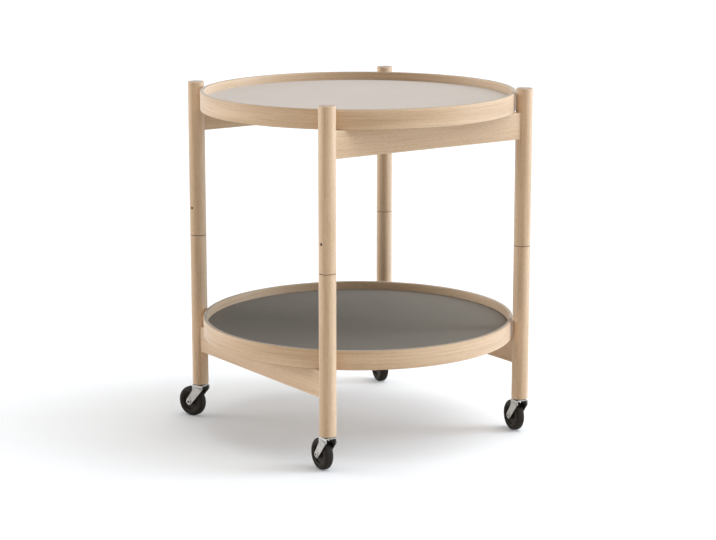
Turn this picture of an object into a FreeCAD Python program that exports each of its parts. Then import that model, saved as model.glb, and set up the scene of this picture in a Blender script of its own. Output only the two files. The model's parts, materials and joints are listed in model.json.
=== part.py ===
import FreeCAD, Part
import math
import os
import re
import Sketcher
from FreeCAD import Placement, Rotation, Vector

# Tray table on casters: four legs split by pivots, four bars, two loose round trays.
# Frame: floor level at z = 0 below the middle of the trays, +Z up.
# The upper bars run along X and the lower bars along Y. Lengths in mm, angles in degrees.

# Driving dimensions

SIZES = {
    # Trays
    "tray_diameter": 503,
    "tray_clearance": 1.1,
    "rim_height": 30.5,
    "rim_thickness": 6,
    "rim_edge_round": 1.5,
    "core_thickness": 2.4,
    "laminate_thickness": 0.4,
    "groove_depth": 2.5,
    "groove_clearance": 0.1,
    "laminate_side_gap": 0.1,
    # Legs and bars
    "leg_diameter": 26.5,
    "leg_edge_round": 1.5,
    "upper_leg_length": 251.5,
    "lower_leg_length": 251.5,
    "bar_height": 42,
    "bar_thickness": 12,
    "bar_edge_round": 1.2,
    "upper_bar_drop": 38,
    "lower_bar_rise": 99,
    "glue_gap": 0.05,
    # Dowels between bar and leg
    "dowel_diameter": 6,
    "dowel_in_leg": 9,
    "dowel_in_bar": 20,
    "dowel_spacing": 22,
    "dowel_end_gap": 0.5,
    # Pivots in the leg seams
    "washer_thickness": 1,
    "washer_diameter": 23,
    "pin_diameter": 10,
    "pin_below_seam": 50,
    "pin_past_screw": 15,
    "pin_end_gap": 1,
    "pin_side_gap": 0.5,
    "pin_groove_depth": 1.5,
    "pin_groove_side_gap": 0.3,
    "bushing_wall": 2,
    "bushing_to_screw": 8,
    "pivot_clearance": 0.05,
    "open_pivot_clearance": 0.3,
    # Retaining screws
    "screw_height": 45,
    "screw_diameter": 5,
    "screw_recess": 0.4,
    "screw_tip_diameter": 3,
    "screw_tip_gap": 0.3,
    "screw_key_width": 2.5,
    "screw_key_depth": 2,
    "screw_turn": 12,
    # Caster sockets and stems
    "socket_flange_diameter": 18,
    "socket_flange_thickness": 1.2,
    "socket_wall": 2,
    "socket_length": 34,
    "socket_end_gap": 1,
    "stem_diameter": 8,
    "stem_clearance": 0.05,
    "stem_end_gap": 2,
    "stem_point_length": 2,
    "stem_neck_height": 22,
    "stem_neck_length": 3,
    "stem_neck_depth": 0.8,
    "stem_lip_gap": 0.3,
    "rivet_diameter": 6,
    "rivet_head_diameter": 10,
    "rivet_head_height": 1.5,
    # Forks
    "fork_sheet": 2,
    "fork_plate_length": 21,
    "fork_front_drop": 8,
    "fork_back_drop": 11,
    "fork_end_radius": 5.8,
    "fork_corner_round": 5,
    "fork_bend_radius": 1.5,
    "swivel_clearance": 0.3,
    "caster_trail": 18,
    # Wheels and axles
    "wheel_diameter": 50,
    "wheel_top_clearance": 4.5,
    "wheel_side_clearance": 0.4,
    "tyre_thickness": 7,
    "tyre_width": 15,
    "tyre_edge_round": 5,
    "hub_rim_width": 13,
    "hub_rim_thickness": 3,
    "hub_web_width": 7,
    "hub_boss_diameter": 13,
    "hub_boss_proud": 0.2,
    "axle_diameter": 6,
    "axle_clearance": 0.05,
    "axle_head_diameter": 9,
    "axle_head_height": 1.5,
    "axle_hollow_diameter": 3.4,
    "axle_hollow_depth": 6,
    # How far each caster is turned from +Y towards +X
    "front_caster_turn": 5,
    "right_caster_turn": 11,
    "left_caster_turn": -19,
    "back_caster_turn": 13,
}

# Sizes and places that follow from them

FITS = {
    "leg_spacing": "((tray_diameter + leg_diameter) / 2 + tray_clearance) * sqrt(2)",
    "leg_radius": "leg_diameter / 2",
    "fork_top": "wheel_diameter + wheel_top_clearance + fork_sheet",
    "foot_height": "fork_top + swivel_clearance + socket_flange_thickness",
    "seam_height": "foot_height + lower_leg_length",
    "upper_leg_base": "seam_height + washer_thickness",
    "leg_top": "upper_leg_base + upper_leg_length",
    "lower_bar_top": "foot_height + lower_bar_rise",
    "upper_bar_top": "leg_top - upper_bar_drop",
    "tray_radius": "tray_diameter / 2",
    "tray_inner_radius": "tray_radius - rim_thickness",
    "base_thickness": "core_thickness + 2 * laminate_thickness",
    "recess_depth": "(rim_height - base_thickness) / 2",
    "core_radius": "tray_inner_radius + groove_depth - groove_clearance",
    "laminate_radius": "tray_inner_radius - laminate_side_gap",
    "core_low": "recess_depth + laminate_thickness",
    "core_high": "core_low + core_thickness",
    "rim_rounding": "min(rim_edge_round; 0.45 * rim_thickness)",
    "bar_rounding": "min(bar_edge_round; 0.45 * bar_thickness)",
    "bar_end": "leg_spacing / 2 - leg_radius",
    "upper_bar_middle": "upper_leg_length - upper_bar_drop - bar_height / 2",
    "lower_bar_middle": "lower_bar_rise - bar_height / 2",
    "dowel_hole_radius": "dowel_diameter / 2 + glue_gap",
    "dowel_length": "dowel_in_leg + dowel_in_bar - 2 * dowel_end_gap",
    "pin_radius": "pin_diameter / 2",
    "pin_above_seam": "screw_height + washer_thickness + pin_past_screw",
    "bushing_length": "screw_height - screw_diameter / 2 - bushing_to_screw",
    "bushing_radius": "pin_radius + pivot_clearance + bushing_wall",
    "screw_hole_radius": "screw_diameter / 2 + glue_gap",
    "groove_half_width": "screw_tip_diameter / 2 + pin_groove_side_gap",
    "groove_radius": "pin_radius - pin_groove_depth",
    "stem_radius": "stem_diameter / 2",
    "socket_bore": "stem_radius + stem_clearance",
    "socket_radius": "socket_bore + socket_wall",
    "neck_radius": "stem_radius - stem_neck_depth",
    "lip_radius": "neck_radius + stem_lip_gap",
    "wheel_radius": "wheel_diameter / 2",
    "hub_radius": "wheel_radius - tyre_thickness",
    "boss_half_width": "tyre_width / 2 + hub_boss_proud",
    "fork_inner": "boss_half_width + wheel_side_clearance",
    "fork_outer": "fork_inner + fork_sheet",
    "tyre_rounding": "min(tyre_edge_round; 0.45 * tyre_width; 0.9 * tyre_thickness)",
}

doc = FreeCAD.newDocument("tray_table")
sheet = doc.addObject("Spreadsheet::Sheet", "Sizes")
for row, (alias, number) in enumerate(SIZES.items(), start=1):
    sheet.set(f"A{row}", alias)
    sheet.set(f"B{row}", str(number))
    sheet.setAlias(f"B{row}", alias)
doc.recompute()
fits = doc.addObject("App::VarSet", "Fits")


def linked(formula):
    """The formula as an expression on the sheet's cells and the values that follow from them."""
    def full_name(match):
        word = match.group(0)
        if word in SIZES:
            return "Sizes." + word
        return "Fits." + word if word in FITS else word
    return re.sub(r"[a-z_]+", full_name, formula)


for name, formula in FITS.items():
    fits.addProperty("App::PropertyFloat", name, "Fits")
    fits.setExpression(name, linked(formula))
doc.recompute()

# Each finished sub-part, by the name of its node
nodes = {}


def bind(thing, path, formula):
    thing.setExpression(path, linked(formula))


def place(thing, x="0", y="0", z="0", turn="0"):
    """Move a sub-part to x, y, z and turn it about the upright axis."""
    thing.Placement = Placement(Vector(), Rotation(Vector(0, 0, 1), 0))
    for path, formula in (("Base.x", x), ("Base.y", y), ("Base.z", z), ("Rotation.Angle", turn)):
        bind(thing, "Placement." + path, formula)


def keep(node, thing):
    thing.Label = node
    nodes[node] = thing
    return thing


# Sketches and features of a body

def new_body(name):
    return doc.addObject("PartDesign::Body", name + "_body")


def new_sketch(body, plane, offset="0"):
    sketch = body.newObject("Sketcher::SketchObject", body.Name + "_sketch")
    support = next(item for item in body.Origin.OriginFeatures if item.Role == plane)
    sketch.AttachmentSupport = [(support, "")]
    sketch.MapMode = "FlatFace"
    bind(sketch, "AttachmentOffset.Base.z", offset)
    return sketch


def tie_point(sketch, geometry, point, x, y):
    """Hold one point of a sketch at x, y, given as formulas."""
    for axis, kind, formula in ((-2, "DistanceX", x), (-1, "DistanceY", y)):
        if formula == "0":
            sketch.addConstraint(Sketcher.Constraint("PointOnObject", geometry, point, axis))
        else:
            number = sketch.addConstraint(Sketcher.Constraint(kind, -1, 1, geometry, point, 1.0))
            bind(sketch, f"Constraints[{number}]", formula)


def add_circle(sketch, radius, x="0", y="0"):
    circle = sketch.addGeometry(Part.Circle(Vector(1, 1, 0), Vector(0, 0, 1), 1), False)
    tie_point(sketch, circle, 3, x, y)
    number = sketch.addConstraint(Sketcher.Constraint("Radius", circle, 1.0))
    bind(sketch, f"Constraints[{number}]", radius)


def add_outline(sketch, corners):
    """A closed outline of straight lines through corners, each a pair of formulas."""
    count = len(corners)
    start = [Vector(math.cos(step * 2 * math.pi / count), math.sin(step * 2 * math.pi / count), 0)
             for step in range(count)]
    for step in range(count):
        sketch.addGeometry(Part.LineSegment(start[step], start[(step + 1) % count]), False)
    for step in range(count):
        sketch.addConstraint(Sketcher.Constraint("Coincident", step, 2, (step + 1) % count, 1))
    for step, (x, y) in enumerate(corners):
        tie_point(sketch, step, 1, x, y)


def add_feature(body, kind, sketch):
    feature = body.newObject("PartDesign::" + kind, f"{body.Name}_{kind.lower()}")
    feature.Profile = sketch
    sketch.Visibility = False
    return feature


def turned(name, corners, upright=True):
    """A body turned from an outline of (radius, height) corners, or (across, radius) about the Y axis."""
    body = new_body(name)
    sketch = new_sketch(body, "XZ_Plane" if upright else "YZ_Plane")
    add_outline(sketch, corners)
    feature = add_feature(body, "Revolution", sketch)
    feature.ReferenceAxis = (sketch, ["V_Axis" if upright else "H_Axis"])
    feature.Angle = 360
    doc.recompute()
    return body


def cut_outward(body, sketch):
    """Cut the sketch's shapes from its plane outwards along its normal, through all that is there."""
    before = body.Shape.Volume
    pocket = add_feature(body, "Pocket", sketch)
    pocket.Type = "ThroughAll"
    pocket.Reversed = True
    doc.recompute()
    if not body.Shape.Volume < before:
        raise RuntimeError(f"{body.Name}: a cut took nothing away")


def cut_through(body, sketch):
    """Cut the sketch's shapes through the whole body, to both sides of the sketch's plane."""
    before = body.Shape.Volume
    pocket = add_feature(body, "Pocket", sketch)
    pocket.SideType = "Symmetric"
    pocket.Type = "ThroughAll"
    doc.recompute()
    if not body.Shape.Volume < before:
        raise RuntimeError(f"{body.Name}: a cut took nothing away")


def round_edges(body, chosen, radius):
    """Round the edges of the body for which chosen(edge) holds."""
    tip = body.Tip
    names = [f"Edge{number}" for number, edge in enumerate(tip.Shape.Edges, start=1) if chosen(edge)]
    fillet = body.newObject("PartDesign::Fillet", body.Name + "_fillet")
    fillet.Base = (tip, names)
    bind(fillet, "Radius", radius)
    doc.recompute()


def near(first, second):
    return abs(first - second) < 1e-4


def is_ring(edge, radius, height=None):
    """Whether the edge is a circle of that radius, at that height where one is given."""
    if not isinstance(edge.Curve, Part.Circle) or not near(edge.Curve.Radius, radius):
        return False
    return height is None or near(edge.Curve.Center.z, height)


def runs_along(edge, axis):
    """Whether the edge is straight and runs along that axis, 0 for X, 1 for Y or 2 for Z."""
    if not isinstance(edge.Curve, Part.Line):
        return False
    return near(abs(edge.Curve.Direction[axis]), 1)


# Sub-parts of a tray

def tray_rim(tray, rest_height):
    groove_end = "tray_inner_radius + groove_depth"
    body = turned(tray + "_tray_rim", [
        ("tray_inner_radius", "0"), ("tray_radius", "0"),
        ("tray_radius", "rim_height"), ("tray_inner_radius", "rim_height"),
        ("tray_inner_radius", "core_high"), (groove_end, "core_high"),
        (groove_end, "core_low"), ("tray_inner_radius", "core_low")])
    heights = (0, sheet.rim_height)
    radii = (fits.tray_radius, fits.tray_inner_radius)
    round_edges(body, lambda edge: any(is_ring(edge, r, z) for r in radii for z in heights), "rim_rounding")
    place(body, z=rest_height)
    keep(tray + "_tray_rim", body)


def tray_base(tray, rest_height):
    """The core, its edge in the groove of the rim, and the laminate laid on each face inside the rim."""
    layers = (("laminate_bottom", "recess_depth", "laminate_thickness", "laminate_radius"),
              ("core", "core_low", "core_thickness", "core_radius"),
              ("laminate_top", "core_high", "laminate_thickness", "laminate_radius"))
    for layer, height, thickness, radius in layers:
        disc = doc.addObject("Part::Cylinder", f"{tray}_tray_{layer}_disc")
        bind(disc, "Radius", radius)
        bind(disc, "Height", thickness)
        place(disc, z=f"{rest_height} + {height}")
        keep(f"{tray}_tray_{layer}", disc)


# Legs, bars and dowels. A leg's dowel holes lie on its own +X side, towards its bar.

def drill_dowels(leg, bar_middle):
    sketch = new_sketch(leg, "YZ_Plane", "leg_radius - dowel_in_leg")
    for side in ("-", "+"):
        add_circle(sketch, "dowel_hole_radius", y=f"{bar_middle} {side} dowel_spacing / 2")
    cut_outward(leg, sketch)


def upper_leg(node, x, y, turn):
    bushing_hole = "bushing_radius + glue_gap"
    pin_hole = "pin_radius + pin_side_gap"
    pin_depth = "pin_above_seam - washer_thickness + pin_end_gap"
    leg = turned(node, [
        (bushing_hole, "0"), ("leg_radius", "0"), ("leg_radius", "upper_leg_length"),
        ("0", "upper_leg_length"), ("0", pin_depth), (pin_hole, pin_depth),
        (pin_hole, "bushing_length"), (bushing_hole, "bushing_length")])
    round_edges(leg, lambda edge: is_ring(edge, fits.leg_radius, sheet.upper_leg_length), "leg_edge_round")
    drill_dowels(leg, "upper_bar_middle")
    screw_sketch = new_sketch(leg, "YZ_Plane")
    screw_sketch.AttachmentOffset = Placement(Vector(), Rotation(Vector(0, 1, 0), 180))
    bind(screw_sketch, "AttachmentOffset.Rotation.Angle", "180 + screw_turn")
    add_circle(screw_sketch, "screw_hole_radius", y="screw_height")
    cut_outward(leg, screw_sketch)
    place(leg, x, y, "upper_leg_base", turn)
    keep(node, leg)


def lower_leg(node, x, y, turn):
    socket_hole = "socket_radius + glue_gap"
    socket_depth = "socket_length + socket_end_gap"
    pin_hole = "pin_radius + glue_gap"
    pin_floor = "lower_leg_length - pin_below_seam - pin_end_gap"
    leg = turned(node, [
        (socket_hole, "0"), ("leg_radius", "0"), ("leg_radius", "lower_leg_length"),
        (pin_hole, "lower_leg_length"), (pin_hole, pin_floor), ("0", pin_floor),
        ("0", socket_depth), (socket_hole, socket_depth)])
    drill_dowels(leg, "lower_bar_middle")
    place(leg, x, y, "foot_height", turn)
    keep(node, leg)


def bar(node, x, y, top, turn):
    """A flat bar along its own X axis, its ends hollowed to sit against the round legs."""
    body = new_body(node)
    section = new_sketch(body, "YZ_Plane")
    add_outline(section, [("-bar_thickness / 2", "-bar_height"), ("bar_thickness / 2", "-bar_height"),
                          ("bar_thickness / 2", "0"), ("-bar_thickness / 2", "0")])
    pad = add_feature(body, "Pad", section)
    pad.SideType = "Symmetric"
    bind(pad, "Length", "leg_spacing")
    doc.recompute()
    round_edges(body, lambda edge: runs_along(edge, 0), "bar_rounding")
    ends = new_sketch(body, "XY_Plane")
    for side in ("-", ""):
        add_circle(ends, "leg_radius + glue_gap", x=f"{side}leg_spacing / 2")
    cut_through(body, ends)
    for side_turn in (0, 180):
        holes = new_sketch(body, "YZ_Plane", "bar_end - dowel_in_bar")
        if side_turn:
            holes.AttachmentOffset = Placement(Vector(), Rotation(Vector(0, 1, 0), side_turn))
            bind(holes, "AttachmentOffset.Base.z", "dowel_in_bar - bar_end")
        for side in ("-", "+"):
            add_circle(holes, "dowel_hole_radius", y=f"-bar_height / 2 {side} dowel_spacing / 2")
        cut_outward(body, holes)
    place(body, x, y, top, turn)
    keep(node, body)


def bar_dowels(node, x, y, top, turn):
    """The four dowels of a bar, two at each end, along the bar's own X axis."""
    pegs = []
    for end in ("-", "+"):
        for side in ("-", "+"):
            peg = doc.addObject("Part::Cylinder", "dowel")
            bind(peg, "Radius", "dowel_diameter / 2")
            bind(peg, "Height", "dowel_length")
            peg.Placement = Placement(Vector(), Rotation(Vector(0, 1, 0), 90))
            inner = "bar_end - dowel_in_bar + dowel_end_gap"
            bind(peg, "Placement.Base.x", inner if end == "+" else f"-({inner}) - dowel_length")
            bind(peg, "Placement.Base.z", f"-bar_height / 2 {side} dowel_spacing / 2")
            pegs.append(peg)
    group = doc.addObject("Part::Compound", node + "_group")
    group.Links = pegs
    doc.recompute()
    place(group, x, y, top, turn)
    keep(node, group)


# Pivots in the leg seams

def pivot_pin(node, x, y):
    groove_low = "screw_height + washer_thickness - groove_half_width"
    groove_high = "screw_height + washer_thickness + groove_half_width"
    pin = turned(node, [
        ("0", "-pin_below_seam"), ("pin_radius", "-pin_below_seam"), ("pin_radius", groove_low),
        ("groove_radius", groove_low), ("groove_radius", groove_high), ("pin_radius", groove_high),
        ("pin_radius", "pin_above_seam"), ("0", "pin_above_seam")])
    place(pin, x, y, "seam_height")
    keep(node, pin)


def pivot_bushing(node, x, y, clearance):
    bore = f"pin_radius + {clearance}"
    sleeve = turned(node, [(bore, "0"), ("bushing_radius", "0"),
                           ("bushing_radius", "bushing_length"), (bore, "bushing_length")])
    place(sleeve, x, y, "upper_leg_base")
    keep(node, sleeve)


def seam_washer(name, x, y):
    bore = "pin_radius + pin_side_gap"
    washer = turned(name, [(bore, "0"), ("washer_diameter / 2", "0"),
                           ("washer_diameter / 2", "washer_thickness"), (bore, "washer_thickness")])
    place(washer, x, y, "seam_height")
    return washer


def retaining_screw(name, x, y, turn):
    """A set screw with a hexagon socket, along its own +Y axis, its tip in the groove of the pin."""
    tip = "groove_radius + screw_tip_gap"
    shoulder = "pin_radius + pin_side_gap"
    head = "leg_radius - screw_recess"
    shank = turned(name, [
        (tip, "0"), (head, "0"), (head, "screw_diameter / 2"), (shoulder, "screw_diameter / 2"),
        (shoulder, "screw_tip_diameter / 2"), (tip, "screw_tip_diameter / 2")], upright=False)
    key = doc.addObject("Part::Prism", name + "_key")
    key.Polygon = 6
    bind(key, "Circumradius", "screw_key_width / sqrt(3)")
    bind(key, "Height", "screw_key_depth")
    key.Placement = Placement(Vector(), Rotation(Vector(1, 0, 0), 90))
    bind(key, "Placement.Base.y", head)
    screw = doc.addObject("Part::Cut", name)
    screw.Base = shank
    screw.Tool = key
    doc.recompute()
    place(screw, x, y, "upper_leg_base + screw_height", turn)
    return screw


def group_node(node, pieces):
    group = doc.addObject("Part::Compound", node + "_group")
    group.Links = pieces
    keep(node, group)


# Casters. Each fork trails along its own +X axis, with its axle along Y.

def caster_socket(name, x, y):
    lip_low = "stem_neck_height + stem_lip_gap"
    lip_high = "stem_neck_height + stem_neck_length - stem_lip_gap"
    flange = "socket_flange_diameter / 2"
    socket = turned(name, [
        ("socket_bore", "-socket_flange_thickness"), (flange, "-socket_flange_thickness"), (flange, "0"),
        ("socket_radius", "0"), ("socket_radius", "socket_length"), ("socket_bore", "socket_length"),
        ("socket_bore", lip_high), ("lip_radius", lip_high), ("lip_radius", lip_low),
        ("socket_bore", lip_low)])
    place(socket, x, y, "foot_height")
    return socket


def caster_stem(node, x, y):
    """The stem from its rivet head under the fork plate to its point, with heights from the foot."""
    plate_top = "fork_top - foot_height"
    plate_low = f"{plate_top} - fork_sheet"
    head_low = f"{plate_low} - rivet_head_height"
    neck_high = "stem_neck_height + stem_neck_length"
    stem_top = "socket_length - stem_end_gap"
    stem = turned(node, [
        ("0", head_low), ("rivet_head_diameter / 2", head_low), ("rivet_head_diameter / 2", plate_low),
        ("rivet_diameter / 2", plate_low), ("rivet_diameter / 2", plate_top), ("stem_radius", plate_top),
        ("stem_radius", "stem_neck_height"), ("neck_radius", "stem_neck_height"),
        ("neck_radius", neck_high), ("stem_radius", neck_high),
        ("stem_radius", f"{stem_top} - stem_point_length"), ("neck_radius", stem_top), ("0", stem_top)])
    place(stem, x, y, "foot_height")
    keep(node, stem)


def tangent_angle(corner, centre, radius, side):
    """Angle, seen from the centre, of the point where a line from the corner touches the circle."""
    reach = corner - centre
    return math.atan2(reach.y, reach.x) + side * math.acos(radius / reach.Length)


def add_prong_outline(sketch):
    """Side view of the fork: a flat plate on top, two bent edges, and a round end about the axle."""
    half = sheet.fork_plate_length / 2
    front = Vector(-half, fits.fork_top - sheet.fork_front_drop, 0)
    back = Vector(half, fits.fork_top - sheet.fork_back_drop, 0)
    axle = Vector(sheet.caster_trail, fits.wheel_radius, 0)
    front_angle = tangent_angle(front, axle, sheet.fork_end_radius, 1)
    back_angle = tangent_angle(back, axle, sheet.fork_end_radius, -1)
    end = Part.Circle(axle, Vector(0, 0, 1), sheet.fork_end_radius)
    arc = Part.ArcOfCircle(end, front_angle, back_angle)
    top_front = Vector(-half, fits.fork_top, 0)
    top_back = Vector(half, fits.fork_top, 0)
    runs = [(top_front, front), (front, arc.StartPoint), (arc.EndPoint, back), (back, top_back),
            (top_back, top_front)]
    lines = [sketch.addGeometry(Part.LineSegment(*run), False) for run in runs]
    front_edge, front_run, back_run, back_edge, top_edge = lines
    round_end = sketch.addGeometry(arc, False)
    for first, second in ((front_edge, front_run), (back_run, back_edge), (back_edge, top_edge),
                          (top_edge, front_edge)):
        sketch.addConstraint(Sketcher.Constraint("Coincident", first, 2, second, 1))
    sketch.addConstraint(Sketcher.Constraint("Tangent", front_run, 2, round_end, 1))
    sketch.addConstraint(Sketcher.Constraint("Tangent", round_end, 2, back_run, 1))
    tie_point(sketch, front_edge, 1, "-fork_plate_length / 2", "fork_top")
    tie_point(sketch, front_run, 1, "-fork_plate_length / 2", "fork_top - fork_front_drop")
    tie_point(sketch, back_edge, 1, "fork_plate_length / 2", "fork_top - fork_back_drop")
    tie_point(sketch, top_edge, 1, "fork_plate_length / 2", "fork_top")
    tie_point(sketch, round_end, 3, "caster_trail", "wheel_radius")
    number = sketch.addConstraint(Sketcher.Constraint("Radius", round_end, sheet.fork_end_radius))
    bind(sketch, f"Constraints[{number}]", "fork_end_radius")


def caster_fork(node, x, y, turn):
    """A fork bent from sheet: the side view padded to full width, then hollowed for the wheel."""
    fork = new_body(node)
    side_view = new_sketch(fork, "XZ_Plane")
    add_prong_outline(side_view)
    pad = add_feature(fork, "Pad", side_view)
    pad.SideType = "Symmetric"
    bind(pad, "Length", "2 * fork_outer")
    doc.recompute()
    gap = new_sketch(fork, "YZ_Plane")
    add_outline(gap, [("-fork_inner", "0"), ("fork_inner", "0"),
                      ("fork_inner", "fork_top - fork_sheet"), ("-fork_inner", "fork_top - fork_sheet")])
    cut_through(fork, gap)
    axle_hole = new_sketch(fork, "XZ_Plane")
    add_circle(axle_hole, "axle_diameter / 2 + glue_gap", "caster_trail", "wheel_radius")
    cut_through(fork, axle_hole)
    rivet_hole = new_sketch(fork, "XY_Plane", "fork_top - 2 * fork_sheet")
    add_circle(rivet_hole, "rivet_diameter / 2 + glue_gap")
    cut_outward(fork, rivet_hole)
    corners = (fits.fork_top - sheet.fork_front_drop, fits.fork_top - sheet.fork_back_drop)
    round_edges(fork, lambda edge: runs_along(edge, 1)
                and any(near(edge.CenterOfMass.z, height) for height in corners), "fork_corner_round")
    bends = (("fork_bend_radius", fits.fork_top - sheet.fork_sheet),
             ("fork_bend_radius + fork_sheet", fits.fork_top))
    for radius, height in bends:
        round_edges(fork, lambda edge: runs_along(edge, 0) and near(edge.CenterOfMass.z, height), radius)
    place(fork, x, y, turn=turn)
    keep(node, fork)


def caster_axle(node, x, y, turn):
    """A tubular rivet: its ends are hollow and spread into heads over the fork."""
    head = "fork_outer + axle_head_height"
    floor = f"{head} - axle_hollow_depth"
    half = [(floor, "0"), (floor, "axle_hollow_diameter / 2"), (head, "axle_hollow_diameter / 2"),
            (head, "axle_head_diameter / 2"), ("fork_outer", "axle_head_diameter / 2"),
            ("fork_outer", "axle_diameter / 2")]
    mirrored = [(f"-({across})", radius) for across, radius in reversed(half)]
    axle = turned(node, half + mirrored, upright=False)
    end = fits.fork_outer + sheet.axle_head_height
    round_edges(axle, lambda edge: is_ring(edge, sheet.axle_head_diameter / 2)
                and near(abs(edge.Curve.Center.y), end), "0.7 * axle_head_height")
    place(axle, x, y, "wheel_radius", turn)
    keep(node, axle)


def wheel_hub(node, x, y, turn):
    bore = "axle_diameter / 2 + axle_clearance"
    boss = "hub_boss_diameter / 2"
    rim = "hub_radius - hub_rim_thickness"
    half = [("boss_half_width", bore), ("boss_half_width", boss), ("hub_web_width / 2", boss),
            ("hub_web_width / 2", rim), ("hub_rim_width / 2", rim), ("hub_rim_width / 2", "hub_radius")]
    mirrored = [(f"-{across}", radius) for across, radius in reversed(half)]
    hub = turned(node, half + mirrored, upright=False)
    place(hub, x, y, "wheel_radius", turn)
    keep(node, hub)


def wheel_tyre(node, x, y, turn):
    half = "tyre_width / 2"
    tyre = turned(node, [(f"-{half}", "hub_radius"), (half, "hub_radius"),
                         (half, "wheel_radius"), (f"-{half}", "wheel_radius")], upright=False)
    round_edges(tyre, lambda edge: is_ring(edge, fits.wheel_radius), "tyre_rounding")
    place(tyre, x, y, "wheel_radius", turn)
    keep(node, tyre)


# The assembly. Legs stand at the corners of a square, named as seen from the front corner.

LOW, HIGH = "-leg_spacing / 2", "leg_spacing / 2"
# Corner: its x and y, and the way from it to its upper bar and to its lower bar
CORNERS = {
    "front": (LOW, LOW, "0", "90"),
    "right": (HIGH, LOW, "180", "90"),
    "left": (LOW, HIGH, "0", "-90"),
    "back": (HIGH, HIGH, "180", "-90"),
}

for tray, rest_height in (("upper", "upper_bar_top"), ("lower", "lower_bar_top")):
    tray_rim(tray, rest_height)
    tray_base(tray, rest_height)

for level, place_name, x, y, turn in (("upper", "front", "0", LOW, "0"), ("upper", "back", "0", HIGH, "0"),
                                      ("lower", "left", LOW, "0", "90"), ("lower", "right", HIGH, "0", "90")):
    bar(f"{level}_bar_{place_name}", x, y, f"{level}_bar_top", turn)
    bar_dowels(f"{level}_dowels_{place_name}", x, y, f"{level}_bar_top", turn)

washers, screws, sockets = {}, {}, {}
for corner, (x, y, upper_way, lower_way) in CORNERS.items():
    upper_leg(f"upper_leg_{corner}", x, y, upper_way)
    lower_leg(f"lower_leg_{corner}", x, y, lower_way)
    pivot_pin(f"pivot_pin_{corner}", x, y)
    clearance = "open_pivot_clearance" if corner == "back" else "pivot_clearance"
    pivot_bushing(f"pivot_bushing_{corner}", x, y, clearance)
    washers[corner] = seam_washer(f"seam_washer_{corner}", x, y)
    screws[corner] = retaining_screw(f"retaining_screw_{corner}", x, y, f"{upper_way} + 90 + screw_turn")
    sockets[corner] = caster_socket(f"caster_socket_{corner}", x, y)

    trail_turn = f"90 - {corner}_caster_turn"
    axle_x = f"{x} + caster_trail * cos({trail_turn})"
    axle_y = f"{y} + caster_trail * sin({trail_turn})"
    caster_stem(f"caster_stem_{corner}", x, y)
    caster_fork(f"caster_fork_{corner}", x, y, trail_turn)
    caster_axle(f"caster_axle_{corner}", axle_x, axle_y, trail_turn)
    wheel_hub(f"wheel_hub_{corner}", axle_x, axle_y, trail_turn)
    wheel_tyre(f"wheel_tyre_{corner}", axle_x, axle_y, trail_turn)

group_node("seam_washers_left", [washers["front"], washers["left"]])
group_node("seam_washers_right", [washers["right"], washers["back"]])
group_node("caster_sockets_left", [sockets["front"], sockets["left"]])
group_node("caster_sockets_right", [sockets["right"], sockets["back"]])
group_node("retaining_screws_front", [screws["front"], screws["right"]])
group_node("retaining_screws_back", [screws["left"], screws["back"]])

# Recompute, test every object and write one file for each sub-part

doc.recompute()
failed = [item.Name for item in doc.Objects if {"Invalid", "Error"} & set(item.State)]
if failed:
    raise RuntimeError("failed objects: " + ", ".join(failed))
for node, thing in nodes.items():
    if thing.Shape.isNull() or not thing.Shape.isValid():
        raise RuntimeError(node + " has no valid shape")

os.makedirs("parts", exist_ok=True)
for node, thing in nodes.items():
    thing.Shape.exportStep(f"parts/{node}.step")
    print(f"{node}: {len(thing.Shape.Solids)} solid, {thing.Shape.Volume / 1000:.2f} cm3")
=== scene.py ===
import json
import math

import bmesh
import bpy
from mathutils import Matrix, Vector


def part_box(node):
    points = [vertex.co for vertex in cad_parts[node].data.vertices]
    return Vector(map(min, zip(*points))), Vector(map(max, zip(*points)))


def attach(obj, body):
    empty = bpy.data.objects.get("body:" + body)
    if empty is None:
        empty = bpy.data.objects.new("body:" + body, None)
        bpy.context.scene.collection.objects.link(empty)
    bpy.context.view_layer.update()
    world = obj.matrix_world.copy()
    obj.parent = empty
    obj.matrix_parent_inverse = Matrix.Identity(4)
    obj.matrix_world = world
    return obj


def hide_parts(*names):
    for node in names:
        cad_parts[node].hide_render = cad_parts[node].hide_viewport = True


# Tray table on casters: beech legs, bars and rims, two laminate trays, zinc forks and black wheels.
# All lengths are metres. Legs, rims, bars, wheels and rivets are modelled here. Forks, stems, sockets,
# washers and screws are smoothed copies of the frame's pieces, and the others are the frame's own.

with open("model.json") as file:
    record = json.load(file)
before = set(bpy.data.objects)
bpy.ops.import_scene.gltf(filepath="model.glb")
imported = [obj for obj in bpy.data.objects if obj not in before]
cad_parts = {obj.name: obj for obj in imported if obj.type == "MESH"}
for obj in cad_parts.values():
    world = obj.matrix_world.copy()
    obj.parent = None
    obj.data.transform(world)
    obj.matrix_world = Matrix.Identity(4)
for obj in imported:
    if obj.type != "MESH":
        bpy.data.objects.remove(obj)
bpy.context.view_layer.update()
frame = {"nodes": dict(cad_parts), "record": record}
scene = bpy.context.scene
scene.view_settings.view_transform = "Standard"

MM = 0.001
CORNERS = ("front", "right", "left", "back")
record = frame["record"]
body_of = {node: body for body, nodes in record["behaviour"]["bodies"].items() for node in nodes}
slot_of = {part["node"]: part["material_slot"] for part in record["subparts"]}


# Sizes, with angles in degrees

leg_low, leg_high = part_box("upper_leg_front")
LEG_RADIUS = (leg_high.x - leg_low.x) / 2
LEG_AXIS = {corner: sum(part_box(f"upper_leg_{corner}"), Vector()) / 2 for corner in CORNERS}
LEG_SEGMENTS = 64
LEG_TOP_ROUND = 1.5 * MM
LEG_END_ROUND = 0.5 * MM

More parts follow.
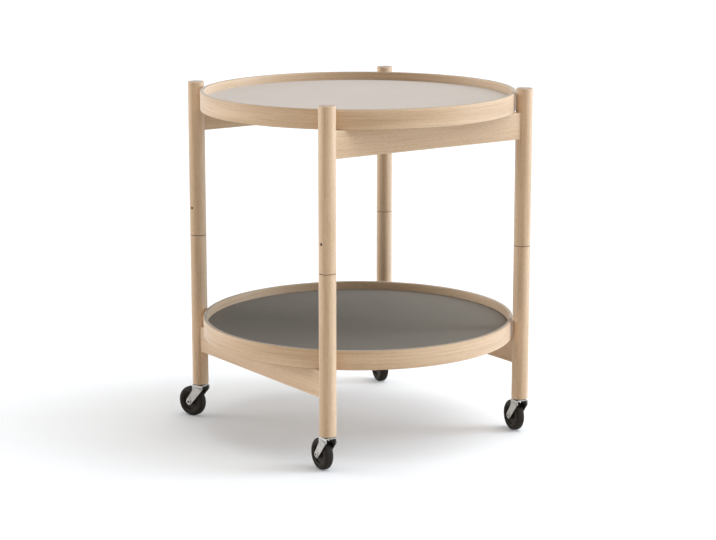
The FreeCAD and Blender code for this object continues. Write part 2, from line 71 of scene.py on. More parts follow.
PIN_BORE = 5.5 * MM
PIN_BORE_DEPTH = 61 * MM
BUSHING_BORE = 7.1 * MM
BUSHING_BORE_DEPTH = 34.5 * MM
LOWER_PIN_BORE = 5.05 * MM
LOWER_PIN_DEPTH = 51 * MM
SOCKET_BORE = 6.1 * MM
SOCKET_BORE_DEPTH = 35 * MM

SCREW_HEIGHT = 45 * MM
SCREW_HOLE_RADIUS = 2.55 * MM
SCREW_HOLE_DEPTH = 3 * MM
SCREW_SIDE = {"front": 192, "right": 12, "left": 192, "back": 12}
SCREW_RINGS = (-1.5, -1.0, -0.5, 0.0, 0.5, 1.0, 1.5)
WALL_TOLERANCE = 0.1 * MM

BAR_EDGE_ROUND = 1.2 * MM
BAR_GLUE_GAP = 0.05 * MM
BAR_END_CUTS = 11

RIM_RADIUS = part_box("upper_tray_rim")[1].x
RIM_THICKNESS = 6 * MM
RIM_EDGE_ROUND = 1.5 * MM
RIM_GROOVE_DEPTH = 2.5 * MM
RIM_SEGMENTS = 288

CASTER_TURN = {"front": 5, "right": 11, "left": -19, "back": 13}
WHEEL_RADIUS = 25 * MM
WHEEL_SEGMENTS = 96
TYRE_WIDTH = 15 * MM
TYRE_EDGE_ROUND = 5 * MM
HUB_RADIUS = 18 * MM
HUB_RIM_WIDTH = 13 * MM
HUB_RIM_THICKNESS = 3 * MM
HUB_WEB_WIDTH = 7 * MM
HUB_BOSS_RADIUS = 6.5 * MM
HUB_BOSS_WIDTH = 15.4 * MM
HUB_BORE = 3.05 * MM
HUB_BOSS_ROUND = 0.6 * MM
HUB_WEB_ROUND = 1.0 * MM
HUB_RIM_ROUND = 0.5 * MM
CASTER_TRAIL = 18 * MM

AXLE_RADIUS = 3 * MM
AXLE_HEAD_RADIUS = 4.5 * MM
AXLE_HEAD_HEIGHT = 1.5 * MM
AXLE_HEAD_ROUND = 1.05 * MM
AXLE_HOLLOW_RADIUS = 1.7 * MM
AXLE_HOLLOW_DEPTH = 6 * MM
AXLE_MOUTH_ROUND = 0.4 * MM
AXLE_SEGMENTS = 40
FORK_WIDTH = 20.2 * MM
FORK_FACING_COSINE = 0.5
FORK_LEVEL_COSINE = 0.99

ROUND_SEGMENTS = 6
MERGE_DISTANCE = 0.001 * MM
SHARP_ANGLE = 32


# Material nodes

WHITE = (1.0, 1.0, 1.0)


def put(tree, kind, settings=None, **inputs):
    """Add a node. Each input is a value or another node's output, named with _ for a space."""
    node = tree.nodes.new("ShaderNode" + kind)
    for name, value in (settings or {}).items():
        setattr(node, name, value)
    set_sockets(tree, node, **inputs)
    return node


def set_sockets(tree, node, **inputs):
    for name, value in inputs.items():
        connect(tree, value, node.inputs[name.replace("_", " ")])


def connect(tree, value, socket):
    if isinstance(value, bpy.types.NodeSocket):
        tree.links.new(value, socket)
    else:
        socket.default_value = value


def maths(tree, operation, *values):
    node = put(tree, "Math", {"operation": operation})
    for value, socket in zip(values, node.inputs):
        connect(tree, value, socket)
    return node.outputs["Value"]


def object_coordinates(tree):
    return put(tree, "TexCoord").outputs["Object"]


def evenly(count):
    return (count, count, count)


def noise(tree, vector, cells, detail=2.0, roughness=0.5):
    """Noise from 0 to 1, with its own count of cells in a metre along each axis."""
    stretched = put(tree, "Mapping", Vector=vector, Scale=cells).outputs["Vector"]
    node = put(tree, "TexNoise", Vector=stretched, Scale=1.0, Detail=detail, Roughness=roughness)
    return node.outputs["Fac"]


def ramp(tree, value, *stops):
    """Colours by value, each stop a place and a colour."""
    node = put(tree, "ValToRGB", Fac=value)
    elements = node.color_ramp.elements
    while len(elements) < len(stops):
        elements.new(0.5)
    for element, (place, colour) in zip(elements, stops):
        element.position = place
        element.color = (*colour, 1.0)
    return node.outputs["Color"]


def between(tree, value, low, high, new_low, new_high):
    """The value carried over from the first range to the new one, and kept within it."""
    node = put(tree, "MapRange", Value=value, From_Min=low, From_Max=high,
               To_Min=new_low, To_Max=new_high)
    return node.outputs["Result"]


def blend(tree, share, first, second, mode="MIX"):
    """Mix two colours, the second with the given share, by the Mix node's sockets for colours."""
    node = put(tree, "Mix", {"data_type": "RGBA", "blend_type": mode})
    for value, socket in ((share, node.inputs[0]), (first, node.inputs[6]), (second, node.inputs[7])):
        connect(tree, value, socket)
    return node.outputs[2]


def bump(tree, height, depth, strength=1.0):
    return put(tree, "Bump", Height=height, Distance=depth, Strength=strength).outputs["Normal"]


def new_finish(name):
    finish = bpy.data.materials.new(name)
    finish.use_nodes = True
    return finish, finish.node_tree, finish.node_tree.nodes["Principled BSDF"]


def shades(colour, *shares):
    """The colour made darker or lighter, once for each share."""
    return [tuple(channel * share for channel in colour) for share in shares]


# Beech, straight or bent, under clear satin lacquer

BEECH_PALE = (0.73, 0.550, 0.380)
BEECH_MIDDLE = (0.685, 0.499, 0.331)
BEECH_DEEP = (0.62, 0.437, 0.278)
BEECH_FLECK = (0.36, 0.225, 0.125)
STREAK_DARK = (0.80, 0.76, 0.70)
STREAK_PALE = (1.05, 1.06, 1.08)
PORE_SHADE = (0.86, 0.82, 0.77)
END_GRAIN_PALE = (0.36, 0.235, 0.135)
END_GRAIN_DARK = (0.22, 0.135, 0.070)
END_PORE_SHADE = (0.7, 0.66, 0.62)
TREE_HEART = (-0.160, -0.140, 0.0)
PLY_EDGE = (0.34, 0.245, 0.155)
GLUE_LINE = (0.20, 0.13, 0.08)
PLY_THICKNESS = 1.5 * MM
SCARF_ANGLE = -135
SCARF_SLOPE = 10.0

# Cells in a metre, along the grain first
BROAD_BANDS = (3.0, 55.0, 55.0)
STREAKS = (9.0, 330.0, 330.0)
PORES = (110.0, 1500.0, 1500.0)
RAYS = (380.0, 2100.0, 2100.0)


def straight_grain(tree, axis):
    """Object coordinates turned so that the grain runs along X."""
    turn = {"x": (0, 0, 0), "y": (0, 0, -math.pi / 2), "z": (0, math.pi / 2, 0)}[axis]
    return put(tree, "Mapping", Vector=object_coordinates(tree), Rotation=turn).outputs["Vector"]


def bent_grain(tree, radius, seam_angle, scarf_slope):
    """Grain coordinates that follow a bent rim from its glued scarf round to the scarf again.

    X is the way round from the scarf, Y the height, Z the distance from the axis.
    """
    round_length = math.tau * radius
    axes = put(tree, "SeparateXYZ", Vector=object_coordinates(tree))
    x, y, height = (axes.outputs[name] for name in "XYZ")
    angle = maths(tree, "ARCTAN2", y, x)
    squares = maths(tree, "ADD", maths(tree, "MULTIPLY", x, x), maths(tree, "MULTIPLY", y, y))
    across = maths(tree, "SQRT", squares)
    arc = maths(tree, "MULTIPLY", maths(tree, "SUBTRACT", angle, seam_angle), radius)
    lap = maths(tree, "MULTIPLY", maths(tree, "SUBTRACT", across, radius), scarf_slope)
    along = maths(tree, "WRAP", maths(tree, "ADD", arc, lap), round_length, 0.0)
    to_seam = maths(tree, "MINIMUM", along, maths(tree, "SUBTRACT", round_length, along))
    grain = put(tree, "CombineXYZ", X=along, Y=height, Z=across).outputs["Vector"]
    return grain, to_seam, across


def flat_share(tree, low, high):
    """0 where the surface stands upright and 1 where it lies flat, rising from low to high flatness."""
    normal = put(tree, "TexCoord").outputs["Normal"]
    flatness = maths(tree, "ABSOLUTE", put(tree, "SeparateXYZ", Vector=normal).outputs["Z"])
    return between(tree, flatness, low, high, 0.0, 1.0)


def end_grain(tree):
    """Growth rings cut across, curved about a heart outside each leg, with fine dark pores."""
    coordinates = object_coordinates(tree)
    quarter = put(tree, "VectorMath", {"operation": "ABSOLUTE"})
    connect(tree, coordinates, quarter.inputs[0])
    from_heart = put(tree, "Mapping", Vector=quarter.outputs["Vector"],
                     Location=TREE_HEART).outputs["Vector"]
    rings = put(tree, "TexWave", {"wave_type": "RINGS", "rings_direction": "Z"}, Vector=from_heart,
                Scale=130.0, Distortion=3.0, Detail=2.0, Detail_Scale=1.5).outputs["Fac"]
    pores = noise(tree, coordinates, evenly(1600.0), 2.0)
    colour = ramp(tree, rings, (0.1, END_GRAIN_DARK), (0.9, END_GRAIN_PALE))
    pore_tint = ramp(tree, pores, (0.35, END_PORE_SHADE), (0.6, WHITE))
    return blend(tree, 1.0, colour, pore_tint, "MULTIPLY")


def ply_edge(tree, across, rim_radius):
    """The cut edge of a rim bent from thin plies, with a fine glue line between each two."""
    depth = maths(tree, "SUBTRACT", rim_radius, across)
    to_line = maths(tree, "PINGPONG", depth, PLY_THICKNESS / 2)
    line = between(tree, to_line, 0.03 * PLY_THICKNESS, 0.10 * PLY_THICKNESS, 0.8, 0.0)
    return blend(tree, line, (*PLY_EDGE, 1.0), (*GLUE_LINE, 1.0))


def beech(name, grain_axis=None, rim_radius=None):
    """Straight beech along an axis, or plies of it bent to a rim of the given radius."""
    finish, tree, shader = new_finish(name)
    if grain_axis:
        grain = straight_grain(tree, grain_axis)
    else:
        grain, to_seam, across = bent_grain(tree, rim_radius, math.radians(SCARF_ANGLE), SCARF_SLOPE)
    broad = noise(tree, grain, BROAD_BANDS, 2.0)
    streaks = noise(tree, grain, STREAKS, 4.0, 0.6)
    pores = noise(tree, grain, PORES, 1.0)
    rays = noise(tree, grain, RAYS, 0.0)
    colour = ramp(tree, broad, (0.30, BEECH_DEEP), (0.52, BEECH_MIDDLE), (0.70, BEECH_PALE))
    streak_tint = ramp(tree, streaks, (0.28, STREAK_DARK), (0.50, WHITE), (0.75, STREAK_PALE))
    colour = blend(tree, 0.8, colour, streak_tint, "MULTIPLY")
    pore_tint = ramp(tree, pores, (0.30, PORE_SHADE), (0.55, WHITE))
    colour = blend(tree, 0.6, colour, pore_tint, "MULTIPLY")
    fleck = between(tree, rays, 0.70, 0.76, 0.0, 0.55)
    colour = blend(tree, fleck, colour, (*BEECH_FLECK, 1.0))
    roughness = between(tree, streaks, 0.3, 0.7, 0.50, 0.40)
    if grain_axis == "z":
        end = flat_share(tree, 0.70, 0.97)
        colour = blend(tree, end, colour, end_grain(tree))
        roughness = maths(tree, "MAXIMUM", roughness, maths(tree, "MULTIPLY", end, 0.9))
    if rim_radius:
        glue = between(tree, to_seam, 0.15 * MM, 0.35 * MM, 0.75, 0.0)
        colour = blend(tree, glue, colour, (*GLUE_LINE, 1.0))
        edge = flat_share(tree, 0.45, 0.85)
        colour = blend(tree, edge, colour, ply_edge(tree, across, rim_radius))
        roughness = maths(tree, "MAXIMUM", roughness, maths(tree, "MULTIPLY", edge, 0.8))
    relief = maths(tree, "ADD", streaks, maths(tree, "MULTIPLY", pores, 0.6))
    set_sockets(tree, shader, Base_Color=colour, Roughness=roughness,
                Normal=bump(tree, relief, 0.05 * MM, 0.5), Specular_IOR_Level=0.3,
                Sheen_Weight=0.4, Sheen_Roughness=0.45)
    return finish


# Matt laminate on the trays

def laminate(name, colour, speck):
    finish, tree, shader = new_finish(name)
    coordinates = object_coordinates(tree)
    cloud = noise(tree, coordinates, evenly(14.0), 3.0)
    grit = noise(tree, coordinates, evenly(1300.0), 2.0)
    dots = noise(tree, coordinates, evenly(620.0), 1.0)
    low, high = shades(colour, 0.985, 1.012)
    face = ramp(tree, cloud, (0.35, low), (0.65, high))
    face = blend(tree, between(tree, grit, 0.35, 0.65, 0.0, 0.10), face, (*speck, 1.0))
    face = blend(tree, between(tree, dots, 0.66, 0.72, 0.0, 0.12), face, (*speck, 1.0))
    set_sockets(tree, shader, Base_Color=face, Roughness=between(tree, grit, 0.3, 0.7, 0.56, 0.66),
                Normal=bump(tree, grit, 0.02 * MM, 0.5), Specular_IOR_Level=0.0)
    return finish


# Metal

def zinc_plate(name, colour, roughness):
    finish, tree, shader = new_finish(name)
    coordinates = object_coordinates(tree)
    bloom = noise(tree, coordinates, evenly(160.0), 3.0, 0.6)
    scratches = noise(tree, coordinates, (900.0, 900.0, 120.0), 3.0, 0.65)
    low, high = shades(colour, 0.84, 1.08)
    plate = ramp(tree, bloom, (0.30, low), (0.70, high))
    set_sockets(tree, shader, Base_Color=plate, Metallic=1.0,
                Roughness=between(tree, scratches, 0.3, 0.7, roughness - 0.07, roughness + 0.07),
                Normal=bump(tree, scratches, 0.015 * MM, 0.4))
    return finish


# Moulded plastic and rubber, and the board in the trays

BOARD_DARK = (0.22, 0.14, 0.08)
BOARD_PALE = (0.40, 0.28, 0.17)


def moulded(name, colour, roughness, grain, shine=0.5):
    finish, tree, shader = new_finish(name)
    coordinates = object_coordinates(tree)
    skin = noise(tree, coordinates, evenly(grain), 3.0, 0.6)
    cloud = noise(tree, coordinates, evenly(90.0), 2.0)
    low, high = shades(colour, 0.8, 1.25)
    face = ramp(tree, cloud, (0.32, low), (0.68, high))
    set_sockets(tree, shader, Base_Color=face,
                Roughness=between(tree, skin, 0.3, 0.7, roughness - 0.06, roughness + 0.08),
                Normal=bump(tree, skin, 0.03 * MM, 0.5), Specular_IOR_Level=shine)
    return finish


def fibre_board(name):
    finish, tree, shader = new_finish(name)
    fibres = noise(tree, object_coordinates(tree), (700.0, 700.0, 1800.0), 4.0, 0.7)
    set_sockets(tree, shader, Base_Color=ramp(tree, fibres, (0.3, BOARD_DARK), (0.7, BOARD_PALE)),
                Roughness=between(tree, fibres, 0.3, 0.7, 0.8, 0.9),
                Normal=bump(tree, fibres, 0.05 * MM))
    return finish


# Finishes

LEG_BEECH = beech("leg_beech", "z")
BAR_BEECH = {"x": beech("bar_beech_x", "x"), "y": beech("bar_beech_y", "y")}
RIM_BEECH = beech("rim_beech", rim_radius=RIM_RADIUS)
FINISHES = {
    "light_laminate": laminate("light_laminate", (0.547, 0.491, 0.444), (0.425, 0.379, 0.340)),
    "dark_laminate": laminate("dark_laminate", (0.234, 0.214, 0.186), (0.113, 0.103, 0.090)),
    "base_board": fibre_board("base_board"),
    "plated_steel": zinc_plate("zinc_plate", (0.43, 0.415, 0.39), 0.62),
    "pin_steel": zinc_plate("ground_steel", (0.56, 0.55, 0.53), 0.30),
    "screw_brown": zinc_plate("browned_screw", (0.12, 0.085, 0.055), 0.50),
    "dark_nylon": moulded("dark_nylon", (0.05, 0.034, 0.023), 0.60, 900.0, 0.2),
    "wheel_black": moulded("wheel_black", (0.0215, 0.0165, 0.0125), 0.62, 1100.0, 0.22),
    "tyre_black": moulded("tyre_black", (0.0205, 0.016, 0.012), 0.68, 1500.0, 0.18),
}
# Dull dark zinc that paints shade: on the fork faces turned to the wheel, the floor or the leg's foot,
# and in the rivets' hollows.
PAINTED_SHADE_ZINC = zinc_plate("zinc_painted_shade", (0.085, 0.078, 0.070), 0.60)
SEAM_WASHER = moulded("seam_washer", (0.28, 0.155, 0.07), 0.70, 900.0, 0.1)


# Modelling

def turned(outline, segments, start=0.0):
    """A shape turned about Z from a closed outline of (radius, height, rounding) corners."""
    bm = bmesh.new()
    corners = [bm.verts.new((radius, 0, height)) for radius, height, rounding in outline]
    bm.faces.new(corners)
    for corner, (radius, height, rounding) in zip(corners, outline):
        if rounding:
            bmesh.ops.bevel(bm, geom=[corner], affect="VERTICES", offset=rounding,
                            segments=ROUND_SEGMENTS, profile=0.5, material=-1)
    bmesh.ops.delete(bm, geom=bm.faces[:], context="FACES_ONLY")
    on_axis = [edge for edge in bm.edges if all(vert.co.x < MERGE_DISTANCE for vert in edge.verts)]
    bmesh.ops.delete(bm, geom=on_axis, context="EDGES")
    bmesh.ops.rotate(bm, verts=bm.verts, cent=(0, 0, 0), matrix=Matrix.Rotation(start, 3, "Z"))
    bmesh.ops.spin(bm, geom=bm.verts[:] + bm.edges[:], cent=(0, 0, 0), axis=(0, 0, 1), dvec=(0, 0, 0),
                   angle=math.tau, steps=segments, use_merge=True)
    bmesh.ops.remove_doubles(bm, verts=bm.verts, dist=MERGE_DISTANCE)
    bmesh.ops.recalc_face_normals(bm, faces=bm.faces)
    return bm


def make_piece(name, bm, node, *finishes):
    """Turn the bmesh into a piece that stands for a node and moves with the node's body."""
    mesh = bpy.data.meshes.new(name)
    bm.to_mesh(mesh)
    bm.free()
    mesh.shade_smooth()
    mesh.set_sharp_from_angle(angle=math.radians(SHARP_ANGLE))
    for finish in finishes:
        mesh.materials.append(finish)
    piece = bpy.data.objects.new(name, mesh)
    scene.collection.objects.link(piece)
    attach(piece, body_of[node])
    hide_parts(node)
    return piece


def move(bm, place):
    bmesh.ops.translate(bm, verts=bm.verts, vec=place)


# Trays

def tray_rim(tray):
    node = f"{tray}_tray_rim"
    low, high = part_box(node)
    core_low, core_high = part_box(f"{tray}_tray_core")
    outer, inner = high.x, high.x - RIM_THICKNESS
    groove = inner + RIM_GROOVE_DEPTH
    bm = turned([
        (inner, low.z, RIM_EDGE_ROUND), (outer, low.z, RIM_EDGE_ROUND),
        (outer, high.z, RIM_EDGE_ROUND), (inner, high.z, RIM_EDGE_ROUND),
        (inner, core_high.z, 0), (groove, core_high.z, 0),
        (groove, core_low.z, 0), (inner, core_low.z, 0)], RIM_SEGMENTS)
    make_piece(f"{tray}_bent_rim", bm, node, RIM_BEECH)


# Legs

def drill_screw_seat(bm, height, side):
    """Open a round seat for the retaining screw in a leg that stands on the origin's axis."""
    out = Vector((math.cos(side), math.sin(side), 0))
    sideways = Vector((-out.y, out.x, 0))

    def from_centre(point):
        around = math.atan2(point.dot(sideways), point.dot(out))
        return Vector((around * LEG_RADIUS, point.z - height))

    def on_wall(vert):
        return abs(vert.co.xy.length - LEG_RADIUS) < WALL_TOLERANCE

    inside = [face for face in bm.faces if all(on_wall(vert) for vert in face.verts)
              and all(abs(part) < SCREW_HOLE_RADIUS for part in from_centre(face.calc_center_median()))]
    border = {edge for face in inside for edge in face.edges
              if any(other not in inside for other in edge.link_faces)}
    bmesh.ops.delete(bm, geom=inside, context="FACES")
    border = [edge for edge in border if edge.is_valid]
    for vert in {vert for edge in border for vert in edge.verts}:
        spot = from_centre(vert.co).normalized() * SCREW_HOLE_RADIUS
        around = side + spot.x / LEG_RADIUS
        vert.co = (LEG_RADIUS * math.cos(around), LEG_RADIUS * math.sin(around), height + spot.y)
    made = bmesh.ops.extrude_edge_only(bm, edges=border)["geom"]
    for vert in (item for item in made if isinstance(item, bmesh.types.BMVert)):
        vert.co += out * (LEG_RADIUS - SCREW_HOLE_DEPTH - vert.co.dot(out))
    floor_edges = [item for item in made if isinstance(item, bmesh.types.BMEdge)
                   and all(vert in made for vert in item.verts)]
    bmesh.ops.contextual_create(bm, geom=floor_edges)
    bmesh.ops.recalc_face_normals(bm, faces=bm.faces)


def upper_leg(corner):
    node = f"upper_leg_{corner}"
    low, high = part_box(node)
    length = high.z - low.z
    rings = [(LEG_RADIUS, SCREW_HEIGHT + share * SCREW_HOLE_RADIUS, 0) for share in SCREW_RINGS]
    side = math.radians(SCREW_SIDE[corner])
    bm = turned([
        (BUSHING_BORE, 0, 0), (LEG_RADIUS, 0, LEG_END_ROUND), *rings,
        (LEG_RADIUS, length, LEG_TOP_ROUND), (0, length, 0), (0, PIN_BORE_DEPTH, 0),
        (PIN_BORE, PIN_BORE_DEPTH, 0), (PIN_BORE, BUSHING_BORE_DEPTH, 0),
        (BUSHING_BORE, BUSHING_BORE_DEPTH, 0)], LEG_SEGMENTS, side)
    drill_screw_seat(bm, SCREW_HEIGHT, side)
    move(bm, (*LEG_AXIS[corner].xy, low.z))
    make_piece(f"turned_{node}", bm, node, LEG_BEECH)


def lower_leg(corner):
    node = f"lower_leg_{corner}"
    low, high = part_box(node)
    length = high.z - low.z
    bm = turned([
        (SOCKET_BORE, 0, 0), (LEG_RADIUS, 0, LEG_END_ROUND), (LEG_RADIUS, length, LEG_END_ROUND),
        (LOWER_PIN_BORE, length, 0), (LOWER_PIN_BORE, length - LOWER_PIN_DEPTH, 0),
        (0, length - LOWER_PIN_DEPTH, 0), (0, SOCKET_BORE_DEPTH, 0),
        (SOCKET_BORE, SOCKET_BORE_DEPTH, 0)], LEG_SEGMENTS)
    move(bm, (*LEG_AXIS[corner].xy, low.z))
    make_piece(f"turned_{node}", bm, node, LEG_BEECH)


# Bars

def bar(node, axis):
    """A flat bar with rounded long edges, its ends hollowed to sit against the round legs."""
    low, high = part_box(node)
    middle, size = (low + high) / 2, high - low
    thickness = size.y if axis == "x" else size.x
    reach = LEG_AXIS["right"].x
    bm = bmesh.new()
    bmesh.ops.create_cube(bm, size=1.0)
    bmesh.ops.scale(bm, vec=(2 * reach, thickness, size.z), verts=bm.verts)
    across = [edge for edge in bm.edges if abs(edge.verts[0].co.y - edge.verts[1].co.y) > thickness / 2]
    bmesh.ops.subdivide_edges(bm, edges=across, cuts=BAR_END_CUTS, use_grid_fill=True)
    corners = [edge for edge in bm.edges if abs(edge.verts[0].co.x - edge.verts[1].co.x) > reach
               and all(abs(abs(vert.co.y) - thickness / 2) < MERGE_DISTANCE for vert in edge.verts)]
    bmesh.ops.bevel(bm, geom=corners, affect="EDGES", offset=BAR_EDGE_ROUND, segments=ROUND_SEGMENTS,
                    profile=0.5, material=-1)
    bmesh.ops.remove_doubles(bm, verts=bm.verts, dist=MERGE_DISTANCE)
    hollow = LEG_RADIUS + BAR_GLUE_GAP
    for vert in bm.verts:
        end = reach - math.sqrt(hollow ** 2 - vert.co.y ** 2)
        vert.co.x = math.copysign(end, vert.co.x)
    if axis == "y":
        quarter_turn = Matrix.Rotation(math.pi / 2, 3, "Z")
        bmesh.ops.rotate(bm, verts=bm.verts, cent=(0, 0, 0), matrix=quarter_turn)
    move(bm, middle)
    make_piece(f"shaped_{node}", bm, node, BAR_BEECH[axis])


# Casters

def across_caster(corner):
    """The matrix that takes a shape turned about Z to the axle of a caster."""
    trail = math.radians(90 - CASTER_TURN[corner])
    turn = Matrix.Rotation(trail, 4, "Z") @ Matrix.Rotation(math.pi / 2, 4, "X")
    middle = Vector((*LEG_AXIS[corner].xy, WHEEL_RADIUS))
    middle += CASTER_TRAIL * Vector((math.cos(trail), math.sin(trail), 0))
    return Matrix.Translation(middle) @ turn


def on_axle(piece_name, corner, outline, segments, node, finish, inside=0.0, painted_shade_finish=None):
    """A piece turned about the axle, with a second finish, painted shade, on the faces inside the given
    radius.
    """
    bm = turned(outline, segments)
    for face in bm.faces:
        face.material_index = int(face.calc_center_median().xy.length < inside)
    bmesh.ops.transform(bm, matrix=across_caster(corner), verts=bm.verts)
    make_piece(f"{piece_name}_{corner}", bm, node, *filter(None, (finish, painted_shade_finish)))


def mirrored(half):
    """The whole outline of a turned shape from its half above the middle plane."""
    return half + [(radius, -height, rounding) for radius, height, rounding in reversed(half)]


def wheel(corner):
    tyre, boss, web, rim = (width / 2 for width in (
        TYRE_WIDTH, HUB_BOSS_WIDTH, HUB_WEB_WIDTH, HUB_RIM_WIDTH))
    rim_inside = HUB_RADIUS - HUB_RIM_THICKNESS
    on_axle("rubber_tyre", corner, mirrored([
        (HUB_RADIUS, tyre, 0), (WHEEL_RADIUS, tyre, TYRE_EDGE_ROUND)]),
        WHEEL_SEGMENTS, f"wheel_tyre_{corner}", FINISHES["tyre_black"])
    on_axle("moulded_hub", corner, mirrored([
        (HUB_BORE, boss, 0), (HUB_BOSS_RADIUS, boss, HUB_BOSS_ROUND),
        (HUB_BOSS_RADIUS, web, HUB_WEB_ROUND), (rim_inside, web, HUB_WEB_ROUND),
        (rim_inside, rim, HUB_RIM_ROUND), (HUB_RADIUS, rim, 0)]),
        WHEEL_SEGMENTS, f"wheel_hub_{corner}", FINISHES["wheel_black"])


def axle(corner):
    """A tubular rivet, its ends flared over the fork and open in the middle, with shade painted dark
    inside the openings.
    """
    fork_side = FORK_WIDTH / 2
    end = fork_side + AXLE_HEAD_HEIGHT
    hollow_end = end - AXLE_HOLLOW_DEPTH
    on_axle("axle_rivet", corner, mirrored([
        (0, hollow_end, 0), (AXLE_HOLLOW_RADIUS, hollow_end, 0),
        (AXLE_HOLLOW_RADIUS, end, AXLE_MOUTH_ROUND), (AXLE_HEAD_RADIUS, end, AXLE_HEAD_ROUND),
        (AXLE_HEAD_RADIUS, fork_side, 0), (AXLE_RADIUS, fork_side, 0)]),
        AXLE_SEGMENTS, f"caster_axle_{corner}", FINISHES["plated_steel"],
        AXLE_HOLLOW_RADIUS, PAINTED_SHADE_ZINC)


# Pressed and turned metal and nylon pieces, with the facets of the frame's own meshes smoothed

def merged_copy(node):
    bm = bmesh.new()
    bm.from_mesh(frame["nodes"][node].data)
    bmesh.ops.remove_doubles(bm, verts=bm.verts, dist=MERGE_DISTANCE)
    return bm


def smoothed(node, finish=None):
    make_piece(f"smooth_{node}", merged_copy(node), node, finish or FINISHES[slot_of[node]])


def fork(corner):
    """The pressed fork, with shade painted on as dull dark zinc where it faces the wheel, the floor or
    the foot of the leg.
    """
    node = f"caster_fork_{corner}"
    bm = merged_copy(node)
    turn = across_caster(corner)
    middle, along = turn.translation, turn.to_3x3() @ Vector((0, 0, 1))
    # Faces turned to the wheel, the floor or the foot of the leg get the dark zinc of painted shade.
    for face in bm.faces:
        aside = (face.calc_center_median() - middle).dot(along)
        faces_wheel = face.normal.dot(along) * math.copysign(1.0, aside) < -FORK_FACING_COSINE
        faces_floor = face.normal.z < -FORK_FACING_COSINE
        faces_leg = face.normal.z > FORK_LEVEL_COSINE
        face.material_index = int(faces_wheel or faces_floor or faces_leg)
    make_piece(f"smooth_{node}", bm, node, FINISHES["plated_steel"], PAINTED_SHADE_ZINC)


# All the pieces, and the finishes of the frame's own

for tray in ("upper", "lower"):
    tray_rim(tray)
for corner in CORNERS:
    upper_leg(corner)
    lower_leg(corner)
    wheel(corner)
    axle(corner)
    fork(corner)
    smoothed(f"caster_stem_{corner}")
for side in ("front", "back"):
    bar(f"upper_bar_{side}", "x")
    smoothed(f"retaining_screws_{side}")
for side in ("left", "right"):
    bar(f"lower_bar_{side}", "y")
    smoothed(f"seam_washers_{side}", SEAM_WASHER)
    smoothed(f"caster_sockets_{side}")

for node, thing in frame["nodes"].items():
    thing.data.materials.clear()
    if "dowels" in node:
        thing.data.materials.append(BAR_BEECH["x" if node.startswith("upper") else "y"])
    else:
        thing.data.materials.append(FINISHES.get(slot_of[node], LEG_BEECH))


# Floor, world and lights

VIEW_AZIMUTH = -35.09
FLOOR_SIZE = 40.0
FLOOR_COLOUR = (0.825, 0.84, 0.85)
FLOOR_BOUNCE = (0.82, 0.75, 0.67)
FLOOR_LIFT = 0.15
FRONT_LIGHT = 0.19
BACK_LIGHT = 0.72
BACKDROP_EDGE = -0.5
BACKDROP_FULL = 0.6
WARM = (1.0, 0.985, 0.97)
COOL = (0.86, 1.0, 1.16)


def seen_directly(tree):
    """1 for what the camera sees directly, in a reflection or through glass, and 0 for other light."""
    path = put(tree, "LightPath").outputs
    reflected = maths(tree, "MAXIMUM", path["Is Glossy Ray"], path["Is Transmission Ray"])
    return maths(tree, "MAXIMUM", path["Is Camera Ray"], reflected)


def pale_floor():
    bm = bmesh.new()
    bmesh.ops.create_grid(bm, x_segments=1, y_segments=1, size=FLOOR_SIZE / 2)
    mesh = bpy.data.meshes.new("floor")
    bm.to_mesh(mesh)
    bm.free()
    paint = bpy.data.materials.new("pale_floor")
    paint.use_nodes = True
    tree = paint.node_tree
    tree.nodes.clear()
    seen = seen_directly(tree)
    body = put(tree, "BsdfDiffuse", Color=blend(tree, seen, (*FLOOR_BOUNCE, 1.0), (*FLOOR_COLOUR, 1.0)))
    lift = put(tree, "Emission", Strength=maths(tree, "MULTIPLY", seen, FLOOR_LIFT))
    both = put(tree, "AddShader")
    tree.links.new(body.outputs["BSDF"], both.inputs[0])
    tree.links.new(lift.outputs["Emission"], both.inputs[1])
    put(tree, "OutputMaterial", Surface=both.outputs["Shader"])
    mesh.materials.append(paint)
    floor = bpy.data.objects.new("floor", mesh)
    scene.collection.objects.link(floor)


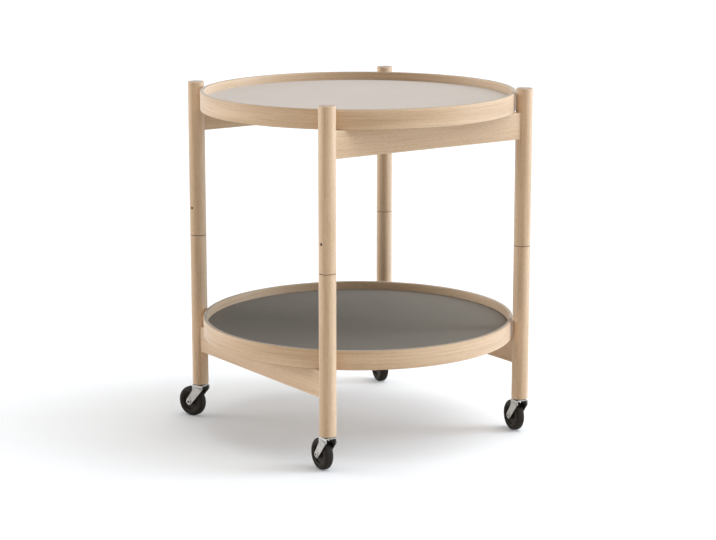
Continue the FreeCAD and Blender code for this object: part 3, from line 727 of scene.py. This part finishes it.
def studio_world():
    """White where it is seen, and on the object the light of a pale backdrop behind it."""
    world = bpy.data.worlds.new("studio")
    scene.world = world
    world.use_nodes = True
    tree = world.node_tree
    tree.nodes.clear()
    away = math.radians(VIEW_AZIMUTH)
    backdrop = put(tree, "VectorMath", {"operation": "DOT_PRODUCT"})
    connect(tree, put(tree, "TexCoord").outputs["Generated"], backdrop.inputs[0])
    connect(tree, (-math.sin(away), math.cos(away), 0.0), backdrop.inputs[1])
    light = between(tree, backdrop.outputs["Value"], BACKDROP_EDGE, BACKDROP_FULL,
                    FRONT_LIGHT, BACK_LIGHT)
    seen = seen_directly(tree)
    unseen = maths(tree, "SUBTRACT", 1.0, seen)
    strength = maths(tree, "ADD", maths(tree, "MULTIPLY", light, unseen), seen)
    colour = blend(tree, seen, (*WARM, 1.0), (*WHITE, 1.0))
    background = put(tree, "Background", Color=colour, Strength=strength)
    put(tree, "OutputWorld", Surface=background.outputs["Background"])


def soft_sun(name, azimuth, elevation, strength, spread, colour):
    """A broad light far away. Azimuth is the side it shines from, as for a view of the object."""
    lamp = bpy.data.lights.new(name, "SUN")
    lamp.energy = strength
    lamp.color = colour
    lamp.angle = math.radians(spread)
    side, up = math.radians(azimuth), math.radians(elevation)
    source = Vector((math.sin(side) * math.cos(up), -math.cos(side) * math.cos(up), math.sin(up)))
    holder = bpy.data.objects.new(name, lamp)
    holder.rotation_euler = source.to_track_quat("Z", "Y").to_euler()
    scene.collection.objects.link(holder)


pale_floor()
studio_world()
soft_sun("key_high", VIEW_AZIMUTH + 76, elevation=68, strength=1.80, spread=60, colour=WHITE)
soft_sun("side_right", VIEW_AZIMUTH + 88, elevation=25, strength=1.15, spread=30, colour=COOL)
soft_sun("low_right", VIEW_AZIMUTH + 94, elevation=2, strength=1.4, spread=16, colour=COOL)
soft_sun("side_left", VIEW_AZIMUTH - 103, elevation=3, strength=2.35, spread=36, colour=WHITE)


# Camera, at the photograph's viewing angle

IMAGE_WIDTH = 716
SENSOR_WIDTH = 36
FOCAL_LENGTH_PIXELS = 2071.1
CAMERA_DISTANCE = 3.2904
CAMERA_HEIGHT = 0.9536
AIM_HEIGHT = 0.2598

camera = bpy.data.cameras.new("camera")
camera.sensor_width = SENSOR_WIDTH
camera.lens = SENSOR_WIDTH * FOCAL_LENGTH_PIXELS / IMAGE_WIDTH
viewer = bpy.data.objects.new("camera", camera)
view_angle = math.radians(VIEW_AZIMUTH)
viewer.location = (
    CAMERA_DISTANCE * math.sin(view_angle), -CAMERA_DISTANCE * math.cos(view_angle), CAMERA_HEIGHT)
aim = Vector((0, 0, AIM_HEIGHT))
viewer.rotation_euler = (viewer.location - aim).to_track_quat("Z", "Y").to_euler()
scene.collection.objects.link(viewer)
scene.camera = viewer
